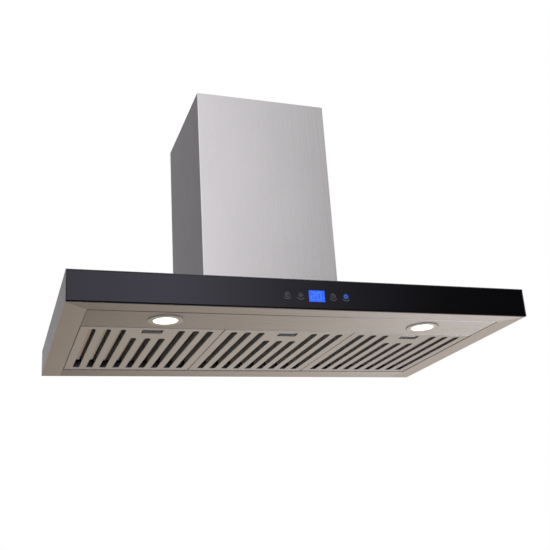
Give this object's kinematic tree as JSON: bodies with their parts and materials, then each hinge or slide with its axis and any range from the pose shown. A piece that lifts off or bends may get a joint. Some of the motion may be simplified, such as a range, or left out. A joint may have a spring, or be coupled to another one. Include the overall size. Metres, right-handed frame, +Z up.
{
  "type": "wall-mounted chimney range hood",
  "caption": "Slim steel canopy hood with a black glass touch front, slotted baffle filters, lamps and a square telescopic flue over a blower, for extracting cooking fumes.",
  "frame": {"origin": "on the wall plane at mid width, level with the underside of the canopy", "axes": "+X to the right seen from the front, +Y towards the wall, +Z up"},
  "size_m": [0.9, 0.55, 0.5823],
  "materials": {
    "brushed_steel": "fine vertical or lengthwise brush, satin",
    "galvanised_steel": "galvanised, dull spangle",
    "black_glass": "tempered, black backed, polished",
    "foam_tape": "matt foam",
    "display": "backlit",
    "touch_foam": "conductive foam",
    "circuit_board": "solder mask",
    "black_plastic": "moulded, fine texture",
    "lamp_bezel": "spun, satin",
    "lamp_lens": "frosted, lit",
    "lamp_can": "die cast",
    "spring_steel": "bright drawn",
    "white_plastic": "moulded",
    "motor_steel": "dark enamel",
    "zinc_screws": "zinc plated",
    "filter_steel": "satin, fine brush along the slots",
    "baffle_steel": "mill finish"
  },
  "bodies": {
    "canopy": {"blower_box": "galvanised_steel", "blower_screws": "zinc_screws", "blower_top_plate": "galvanised_steel", "cable_gland": "black_plastic", "canopy_top": "brushed_steel", "capacitor": "white_plastic", "control_board": "circuit_board", "control_housing": "black_plastic", "damper_pin": "spring_steel", "display_module": "display", "flue_screws": "zinc_screws", "front_channel": "brushed_steel", "front_glass": "black_glass", "glass_tape": "foam_tape", "hanging_plate": "galvanised_steel", "lamp_driver": "white_plastic", "left_lamp_bezel": "lamp_bezel", "left_lamp_can": "lamp_can", "left_lamp_clips": "spring_steel", "left_lamp_lens": "lamp_lens", "left_side_panel": "brushed_steel", "light_panel": "brushed_steel", "motor_body": "motor_steel", "motor_bracket": "galvanised_steel", "motor_screws": "zinc_screws", "outer_flue": "brushed_steel", "outlet_collar": "black_plastic", "rear_panel": "brushed_steel", "right_lamp_bezel": "lamp_bezel", "right_lamp_can": "lamp_can", "right_lamp_clips": "spring_steel", "right_lamp_lens": "lamp_lens", "right_side_panel": "brushed_steel", "scroll_left_half": "black_plastic", "scroll_right_half": "black_plastic", "terminal_box": "black_plastic", "terminal_cover": "black_plastic", "touch_pads": "touch_foam"},
    "upper_flue": {"upper_flue": "brushed_steel", "upper_flue_strap": "galvanised_steel"},
    "impeller": {"impeller": "white_plastic"},
    "damper_front": {"damper_front_flap": "black_plastic"},
    "damper_rear": {"damper_rear_flap": "black_plastic"},
    "left_filter": {"left_filter_tray": "filter_steel", "left_filter_baffles": "baffle_steel", "left_latch_guide": "baffle_steel", "left_latch_spring": "spring_steel"},
    "left_latch": {"left_filter_latch": "filter_steel"},
    "centre_filter": {"centre_filter_tray": "filter_steel", "centre_filter_baffles": "baffle_steel", "centre_latch_guide": "baffle_steel", "centre_latch_spring": "spring_steel"},
    "centre_latch": {"centre_filter_latch": "filter_steel"},
    "right_filter": {"right_filter_tray": "filter_steel", "right_filter_baffles": "baffle_steel", "right_latch_guide": "baffle_steel", "right_latch_spring": "spring_steel"},
    "right_latch": {"right_filter_latch": "filter_steel"}
  },
  "joints": [
    {"name": "flue_extension", "type": "slide", "parent": "canopy", "child": "upper_flue", "axis": [0, 0, 1], "range_m": [0, 0.4]},
    {"name": "fan_spin", "type": "hinge", "parent": "canopy", "child": "impeller", "pos_m": [0, -0.083, 0.1705], "axis": [1, 0, 0], "continuous": true},
    {"name": "damper_front_swing", "type": "hinge", "parent": "canopy", "child": "damper_front", "pos_m": [0, -0.151, 0.3702], "axis": [-1, 0, 0], "range_deg": [0, 80]},
    {"name": "damper_rear_swing", "type": "hinge", "parent": "canopy", "child": "damper_rear", "pos_m": [0, -0.151, 0.3702], "axis": [1, 0, 0], "range_deg": [0, 80]},
    {"name": "left_filter_drop", "type": "hinge", "parent": "canopy", "child": "left_filter", "pos_m": [-0.2728, -0.0565, 0.003], "axis": [1, 0, 0], "range_deg": [0, 50]},
    {"name": "left_latch_pull", "type": "slide", "parent": "left_filter", "child": "left_latch", "axis": [0, 1, 0], "range_m": [0, 0.006], "stiffness_N_per_m": 600, "deforming": ["left_latch_spring"]},
    {"name": "centre_filter_drop", "type": "hinge", "parent": "canopy", "child": "centre_filter", "pos_m": [0, -0.0565, 0.003], "axis": [1, 0, 0], "range_deg": [0, 50]},
    {"name": "centre_latch_pull", "type": "slide", "parent": "centre_filter", "child": "centre_latch", "axis": [0, 1, 0], "range_m": [0, 0.006], "stiffness_N_per_m": 600, "deforming": ["centre_latch_spring"]},
    {"name": "right_filter_drop", "type": "hinge", "parent": "canopy", "child": "right_filter", "pos_m": [0.2728, -0.0565, 0.003], "axis": [1, 0, 0], "range_deg": [0, 50]},
    {"name": "right_latch_pull", "type": "slide", "parent": "right_filter", "child": "right_latch", "axis": [0, 1, 0], "range_m": [0, 0.006], "stiffness_N_per_m": 600, "deforming": ["right_latch_spring"]}
  ],
  "couplings": [
    {"joint": "damper_rear_swing", "follows": "damper_front_swing", "ratio": 1}
  ]
}
